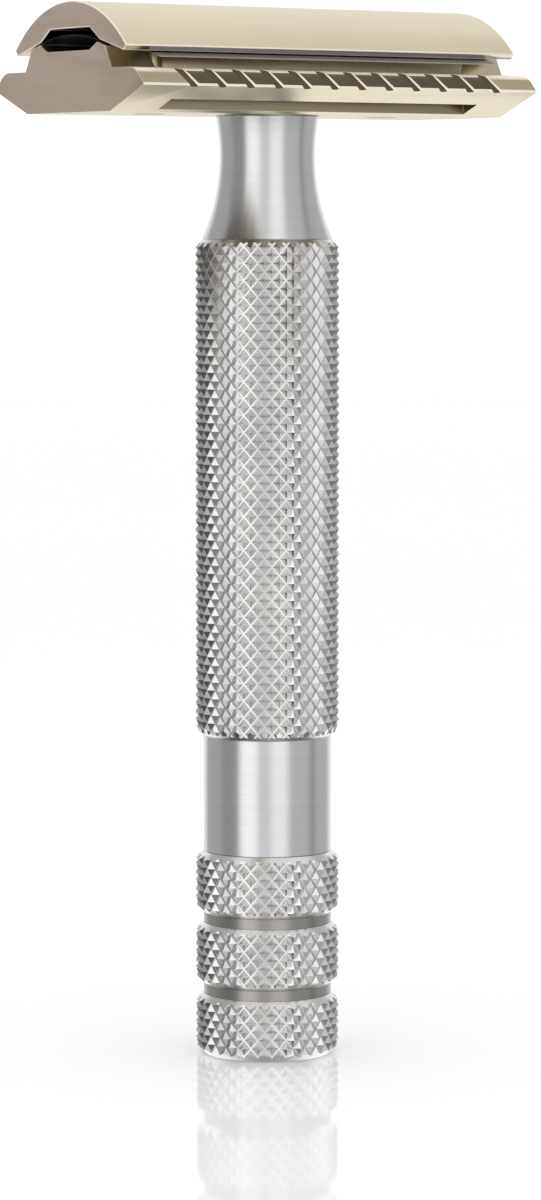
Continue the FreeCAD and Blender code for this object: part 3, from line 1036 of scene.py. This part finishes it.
class RAZOR_OT_plate(bpy.types.Operator):
    """Make the base plate with its bars, lugs, blade bed, slots, flutes and holes"""

    bl_idname = "razor.plate"
    bl_label = "Base plate"

    def execute(self, context):
        sizes = context.scene.razor_head
        low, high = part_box("base_plate")
        roll = sizes.bar_roll / MM
        face_angle = math.radians(44)
        roll_start = 11.31 - roll * math.tan((math.pi / 2 - face_angle) / 2)
        half = [(7.15, 0.0), (12.8, 2.20), (12.72, 2.42)]
        half += arc((roll_start, 3.85 - roll), roll, face_angle, math.pi / 2, 6)
        half += [(7.45, 3.85), (6.37, 5.83), (4.96, 6.21), (3.61, 5.54)]
        section = both_sides(half)
        plate = bar("plate", head_points(section), low.x, high.x)
        combine(plate, self.make_bed(), "UNION")
        bed_half = 7.7 * MM
        slot_outer = 9.9 * MM
        slot_half = 17.0 * MM
        for side in (-1, 1):
            near, far = sorted((side * bed_half, side * slot_outer))
            outline = box_outline(-slot_half, near, slot_half, far)
            combine(plate, block("lather slot", outline, low.z - MM, high.z + MM), "DIFFERENCE")
        holes = [disc_outline(0, 0, 2.58 * MM)]
        holes += [disc_outline(side * 13 * MM, 0, 1.58 * MM) for side in (-1, 1)]
        for outline in holes:
            combine(plate, block("hole", outline, low.z - MM, high.z + MM), "DIFFERENCE")
        coat_head(plate)
        combine(plate, self.make_flutes(sizes), "DIFFERENCE")
        smooth(plate)
        # Painted highlight on the bars' tips and rolls and on one side of each flute.
        refinish(plate, worn_and_highlight_nickel(), faces_rim_highlight)
        # The bars' fluted faces take painted shade.
        refinish(plate, milled_nickel_painted_shade(), faces_bar)
        # The bed's and slots' walls and the bars' plain ends take painted shade.
        refinish(plate, wall_nickel_painted_shade(), faces_wall)
        refinish(plate, wall_nickel_painted_shade(), faces_bar_end)
        refinish(plate, ground_nickel(), faces_end)
        dress(plate, None, "plate", "satin_nickel", "base_plate")
        return {"FINISHED"}

    def make_bed(self):
        """The raised blade bed between the lugs, with upright rounded corners."""
        half_length = 17.3 * MM
        half_width = 7.7 * MM
        corner = 0.9 * MM
        section = both_sides([(7.7, 3.0), (7.7, 5.47), (4.96, 6.21), (3.61, 5.54)])
        bed = bar("bed", head_points(section), -half_length, half_length)
        outline = []
        for x, y, start in ((1, 1, 0), (-1, 1, 1), (-1, -1, 2), (1, -1, 3)):
            centre = (x * (half_length - corner), y * (half_width - corner))
            outline += arc(centre, corner, start * math.pi / 2, (start + 1) * math.pi / 2, 6)
        combine(bed, block("bed outline", outline, HEAD_BASE, HEAD_BASE + 9 * MM), "INTERSECT")
        return bed

    def make_flutes(self, sizes):
        """A row of round cutters along each bar's sloping face."""
        tip = Vector((0, 12.76, 2.31)) * MM
        top = Vector((0, 11.31, 3.85)) * MM
        slope = (top - tip).normalized()
        outward = Vector((0, slope.z, -slope.y))
        middle = (tip + top) / 2 + outward * (sizes.flute_radius - sizes.flute_depth)
        length = 6 * MM
        bm = bmesh.new()
        for side in (-1, 1):
            along = Vector((0, side * slope.y, slope.z)) * math.cos(sizes.flute_lean)
            along.x = -math.sin(sizes.flute_lean)
            centre = Vector((0, side * middle.y, HEAD_BASE + middle.z))
            turn = Vector((0, 0, 1)).rotation_difference(along).to_matrix().to_4x4()
            bmesh.ops.create_cone(
                bm, cap_ends=True, segments=28, depth=length,
                radius1=sizes.flute_radius, radius2=sizes.flute_radius,
                matrix=Matrix.Translation(centre) @ turn,
            )
        run = 33.55 * MM
        cutters = piece_from("flute cutters", bm)
        run_tree(cutters, row_tree(), {
            "Count": sizes.flutes, "Start": -run / 2, "Step": run / (sizes.flutes - 1),
            "Material": satin_nickel(),
        })
        return cutters


class RAZOR_OT_blade(bpy.types.Operator):
    """Make the thin double-edge blade, bent over its bed"""

    bl_idname = "razor.blade"
    bl_label = "Blade"

    def execute(self, context):
        low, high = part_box("razor_blade")
        thickness = 0.1
        bend_half = 5.0
        bend_height = 6.332
        bend_radius = 19.19
        hone = (10.255, 4.913)
        tip = (10.738, 4.782)
        reach = math.asin(bend_half / bend_radius)
        centre = (0, bend_height - math.sqrt(bend_radius ** 2 - bend_half ** 2))
        lift = Vector((math.sin(reach), math.cos(reach))) * thickness / 2
        above = arc(centre, bend_radius + thickness / 2, math.pi / 2 - reach, math.pi / 2, 10)
        below = arc(centre, bend_radius - thickness / 2, math.pi / 2, math.pi / 2 - reach, 10)
        right = [(hone[0] - lift.x, hone[1] - lift.y), tip, (hone[0] + lift.x, hone[1] + lift.y)]
        left = [(-across, height) for across, height in reversed(right)]
        over = [(-across, height) for across, height in reversed(above)][1:]
        under = [(-across, height) for across, height in reversed(below)][:-1]
        section = right + above + list(over) + left + under + below
        section = self.without_repeats(section)
        blade = bar("blade", head_points(section), low.x, high.x)
        edge_half = 18.65 * MM
        tab_half = 6.3 * MM
        far = 30 * MM
        base = HEAD_BASE
        top = HEAD_BASE + 9 * MM
        for x_side in (-1, 1):
            for y_side in (-1, 1):
                xs = sorted((x_side * edge_half, x_side * far))
                ys = sorted((y_side * tab_half, y_side * far))
                corner = box_outline(xs[0], ys[0], xs[1], ys[1])
                combine(blade, block("corner", corner, base, top), "DIFFERENCE")
        slot = box_outline(-17.2 * MM, -0.9 * MM, 17.2 * MM, 0.9 * MM)
        combine(blade, block("slot", slot, base, top), "DIFFERENCE")
        for x, radius in ((0, 2.8), (-13, 1.75), (13, 1.75)):
            combine(blade, block("eye", disc_outline(x * MM, 0, radius * MM), base, top), "DIFFERENCE")
        smooth(blade, 10)
        dress(blade, strip_steel_painted_shade_and_highlight(), "blade", "blade_steel", "razor_blade")
        return {"FINISHED"}

    def without_repeats(self, section):
        kept = []
        for point in section:
            if not kept or math.dist(point, kept[-1]) > 1e-6:
                kept.append(point)
        return kept


# ---------------------------------------------------------------- stage


# Upright lights of the studio: azimuth from the camera, half width and softness in degrees, brightness
UPRIGHT_LIGHTS = (
    (-34, 10, 16, 1.30),
    (-6, 12, 12, 0.80),
    (22, 10, 16, 1.15),
    (62, 14, 20, 0.60),
    (-125, 30, 18, 0.46),
    (130, 30, 15, 0.54),
    (180, 30, 20, 1.00),
)
WALL_GLOOM = 0.34
FLOOR_GLOOM = 0.10


def ramp(tree, value, start, stop, top):
    """A soft step from nothing at start to the full value at stop."""
    made = new_node(tree, "ShaderNodeMapRange", interpolation_type="SMOOTHSTEP")
    made.inputs["From Min"].default_value = start
    made.inputs["From Max"].default_value = stop
    made.inputs["To Max"].default_value = top
    tree.links.new(value, made.inputs["Value"])
    return made.outputs[0]


def studio_glow(tree):
    """The studio's brightness each way: upright lights, ceiling, pale ground, gloom between."""
    turn = bpy.context.scene.razor_stage.azimuth
    direction = new_node(tree, "ShaderNodeTexCoord").outputs["Generated"]
    parts = new_node(tree, "ShaderNodeSeparateXYZ")
    tree.links.new(direction, parts.inputs[0])
    forward = number(tree, "MULTIPLY", parts.outputs["Y"], -1.0)
    azimuth = number(tree, "ARCTAN2", parts.outputs["X"], forward)
    lights = WALL_GLOOM
    for centre, half, soft, brightness in UPRIGHT_LIGHTS:
        offset = number(tree, "SUBTRACT", azimuth, math.radians(centre) + turn)
        outer = math.cos(math.radians(min(180, half + soft)))
        nearness = number(tree, "COSINE", offset, 0.0)
        light = ramp(tree, nearness, outer, math.cos(math.radians(half)), brightness)
        lights = number(tree, "MAXIMUM", light, lights)
    height = parts.outputs["Z"]
    above_foot = ramp(tree, height, -0.6, -0.2, 1.0)
    below_top = ramp(tree, height, 0.99, 0.80, 1.0)
    reach = number(tree, "MULTIPLY", above_foot, below_top)
    lights = number(tree, "MULTIPLY", lights, reach)
    away = sideways(tree, direction, (-math.sin(turn), math.cos(turn), 0))
    right = sideways(tree, direction, (math.cos(turn), math.sin(turn), 0))
    down = number(tree, "MULTIPLY", height, -1.0)
    ground = number(tree, "MULTIPLY", ramp(tree, away, 0.12, 0.55, 1.2), ramp(tree, down, 0.05, 0.35, 1.0))
    underside = ramp(tree, down, 0.80, 0.97, 0.35)
    lean = number(tree, "MULTIPLY", right, 0.10)
    ceiling = ramp(tree, number(tree, "ADD", height, lean), 0.62, 0.90, 0.95)
    bounce = ramp(tree, right, 0.0, 0.6, 0.22)
    forward_half = ramp(tree, number(tree, "MULTIPLY", away, -1.0), 0.25, 0.55, 1.0)
    pool = number(tree, "MULTIPLY", forward_half, ramp(tree, down, 0.30, 0.60, 1.0))
    pool = number(tree, "MULTIPLY", pool, ramp(tree, right, -0.6, 0.3, 1.2))
    total = number(tree, "MAXIMUM", lights, ceiling)
    total = number(tree, "MAXIMUM", total, pool)
    total = number(tree, "MAXIMUM", total, ground)
    total = number(tree, "MAXIMUM", total, underside)
    total = number(tree, "MAXIMUM", total, bounce)
    return number(tree, "MAXIMUM", total, FLOOR_GLOOM)


def sideways(tree, direction, along):
    """How far a direction points along a level one."""
    made = new_node(tree, "ShaderNodeVectorMath", operation="DOT_PRODUCT")
    made.inputs[1].default_value = along
    tree.links.new(direction, made.inputs[0])
    return made.outputs["Value"]


class RAZOR_OT_stage(bpy.types.Operator):
    """Make the pale floor, the soft studio light and the camera"""

    bl_idname = "razor.stage"
    bl_label = "Stage"

    def execute(self, context):
        self.make_floor()
        self.make_light(context.scene)
        self.make_camera(context.scene)
        context.scene.view_settings.view_transform = "Standard"
        return {"FINISHED"}

    def make_floor(self):
        half = 3.0
        bm = bmesh.new()
        bmesh.ops.create_grid(bm, x_segments=1, y_segments=1, size=half)
        floor = piece_from("floor", bm)
        finish = bpy.data.materials.new("pale gloss floor")
        finish.use_nodes = True
        shader = finish.node_tree.nodes["Principled BSDF"]
        shader.inputs["Base Color"].default_value = (0.995, 0.995, 0.995, 1)
        shader.inputs["Roughness"].default_value = 0.06
        shader.inputs["Specular IOR Level"].default_value = 0.2
        floor.data.materials.append(finish)
        floor.visible_glossy = False

    def make_light(self, scene):
        world = bpy.data.worlds.new("studio")
        world.use_nodes = True
        tree = world.node_tree
        tree.nodes.clear()
        studio = new_node(tree, "ShaderNodeBackground")
        tree.links.new(studio_glow(tree), studio.inputs["Strength"])
        studio.inputs["Color"].default_value = (1, 1, 1, 1)
        backdrop = new_node(tree, "ShaderNodeBackground")
        backdrop.inputs["Color"].default_value = (1, 1, 1, 1)
        backdrop.inputs["Strength"].default_value = 1.16
        seen = new_node(tree, "ShaderNodeLightPath")
        plain = number(tree, "MAXIMUM", seen.outputs["Is Camera Ray"], seen.outputs["Is Diffuse Ray"])
        choose = new_node(tree, "ShaderNodeMixShader")
        result = new_node(tree, "ShaderNodeOutputWorld")
        tree.links.new(plain, choose.inputs["Fac"])
        tree.links.new(studio.outputs[0], choose.inputs[1])
        tree.links.new(backdrop.outputs[0], choose.inputs[2])
        tree.links.new(choose.outputs[0], result.inputs["Surface"])
        scene.world = world

    def make_camera(self, scene):
        stage = scene.razor_stage
        aim_height = 42.9 * MM
        aim_aside = 0.30 * MM
        turn = stage.azimuth
        place = Vector((math.sin(turn) * stage.distance, -math.cos(turn) * stage.distance, stage.height))
        aside = Vector((math.cos(turn), math.sin(turn), 0)) * aim_aside
        target = Vector((0, 0, aim_height)) + aside
        camera = bpy.data.objects.new("camera", bpy.data.cameras.new("camera"))
        scene.collection.objects.link(camera)
        camera.data.lens = stage.lens
        camera.data.sensor_width = 36
        camera.data.clip_end = 20
        camera.location = place + aside
        camera.rotation_euler = (target - camera.location).to_track_quat("-Z", "Y").to_euler()
        scene.camera = camera


# ---------------------------------------------------------------- panel and registration


class RAZOR_PT_panel(bpy.types.Panel):
    bl_label = "Safety Razor"
    bl_idname = "RAZOR_PT_panel"
    bl_space_type = "VIEW_3D"
    bl_region_type = "UI"
    bl_category = "Razor"

    def draw(self, context):
        layout = self.layout
        for group, name in SETTINGS:
            column = layout.box().column()
            for field in group.__annotations__:
                column.prop(getattr(context.scene, name), field)
        for operator in OPERATORS:
            layout.operator(operator.bl_idname)


OPERATORS = (
    RAZOR_OT_grip,
    RAZOR_OT_rings,
    RAZOR_OT_smooth_turnings,
    RAZOR_OT_fastening,
    RAZOR_OT_plate,
    RAZOR_OT_blade,
    RAZOR_OT_cap,
    RAZOR_OT_stage,
)


def register():
    for group, name in SETTINGS:
        bpy.utils.register_class(group)
        setattr(bpy.types.Scene, name, bpy.props.PointerProperty(type=group))
    for operator in OPERATORS:
        bpy.utils.register_class(operator)
    bpy.utils.register_class(RAZOR_PT_panel)


def unregister():
    bpy.utils.unregister_class(RAZOR_PT_panel)
    for operator in reversed(OPERATORS):
        bpy.utils.unregister_class(operator)
    for group, name in reversed(SETTINGS):
        delattr(bpy.types.Scene, name)
        bpy.utils.unregister_class(group)


def main():
    register()
    bpy.ops.razor.grip()
    bpy.ops.razor.rings()
    bpy.ops.razor.smooth_turnings()
    bpy.ops.razor.fastening()
    bpy.ops.razor.plate()
    bpy.ops.razor.blade()
    bpy.ops.razor.cap()
    bpy.ops.razor.stage()


if __name__ == "__main__":
    main()
